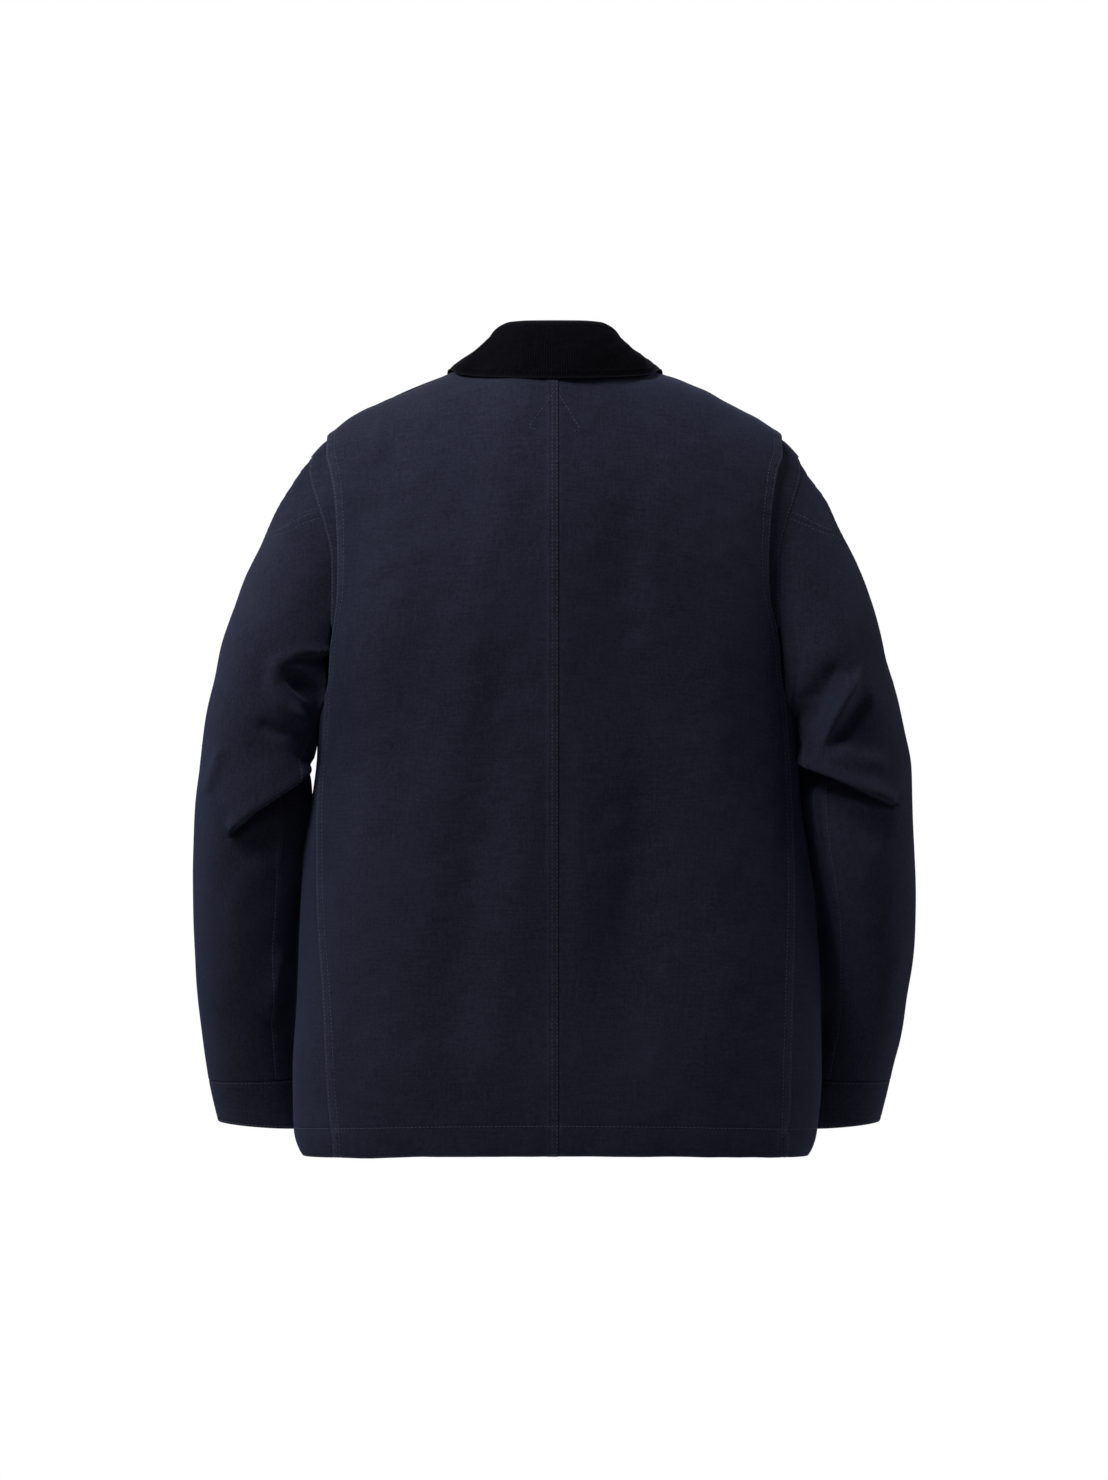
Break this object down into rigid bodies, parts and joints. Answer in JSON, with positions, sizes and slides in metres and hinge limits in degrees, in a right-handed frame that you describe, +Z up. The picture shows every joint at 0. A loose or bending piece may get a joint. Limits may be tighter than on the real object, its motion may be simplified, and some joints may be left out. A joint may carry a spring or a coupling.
{
  "type": "chore jacket",
  "caption": "Heavy canvas chore jacket with a corduroy collar, action-pleat back, two-piece cuffed sleeves and hip patch pockets, worn and hollow.",
  "frame": {"origin": "middle of the neck hole at the height of the shoulder line beside the neck, where the wearer's shoulders hold the jacket up", "axes": "+Z up, -Y out of the back of the jacket, +Y out of its front, +X to the wearer's right"},
  "size_m": [0.6548, 0.2516, 0.7472],
  "materials": {
    "back_left": "heavy brushed cotton canvas, dark navy",
    "gusset_left": "heavy brushed cotton canvas, dark navy",
    "front_left": "heavy brushed cotton canvas, dark navy",
    "front_strip_left": "heavy brushed cotton canvas, dark navy",
    "sleeve_back_left": "heavy brushed cotton canvas, dark navy",
    "sleeve_front_left": "heavy brushed cotton canvas, dark navy",
    "sleeve_front_lower_left": "heavy brushed cotton canvas, dark navy",
    "cuff_left": "heavy brushed cotton canvas, dark navy",
    "pocket_left": "heavy brushed cotton canvas, dark navy",
    "cuff_button_left": "dark horn-like resin",
    "back_right": "heavy brushed cotton canvas, dark navy",
    "gusset_right": "heavy brushed cotton canvas, dark navy",
    "front_right": "heavy brushed cotton canvas, dark navy",
    "front_strip_right": "heavy brushed cotton canvas, dark navy",
    "sleeve_back_right": "heavy brushed cotton canvas, dark navy",
    "sleeve_front_right": "heavy brushed cotton canvas, dark navy",
    "sleeve_front_lower_right": "heavy brushed cotton canvas, dark navy",
    "cuff_right": "heavy brushed cotton canvas, dark navy",
    "pocket_right": "heavy brushed cotton canvas, dark navy",
    "cuff_button_right": "dark horn-like resin",
    "button_1": "dark horn-like resin",
    "button_2": "dark horn-like resin",
    "button_3": "dark horn-like resin",
    "button_4": "dark horn-like resin",
    "button_5": "dark horn-like resin",
    "collar_stand": "black fine-wale corduroy",
    "collar_fall": "black fine-wale corduroy"
  },
  "bodies": {
    "root": {"back_left": "back_left", "gusset_left": "gusset_left", "front_left": "front_left", "front_strip_left": "front_strip_left", "sleeve_back_left": "sleeve_back_left", "sleeve_front_left": "sleeve_front_left", "sleeve_front_lower_left": "sleeve_front_lower_left", "cuff_left": "cuff_left", "pocket_left": "pocket_left", "cuff_button_left": "cuff_button_left", "back_right": "back_right", "gusset_right": "gusset_right", "front_right": "front_right", "front_strip_right": "front_strip_right", "sleeve_back_right": "sleeve_back_right", "sleeve_front_right": "sleeve_front_right", "sleeve_front_lower_right": "sleeve_front_lower_right", "cuff_right": "cuff_right", "pocket_right": "pocket_right", "cuff_button_right": "cuff_button_right", "button_1": "button_1", "button_2": "button_2", "button_3": "button_3", "button_4": "button_4", "button_5": "button_5", "collar_stand": "collar_stand", "collar_fall": "collar_fall"}
  },
  "joints": []
}
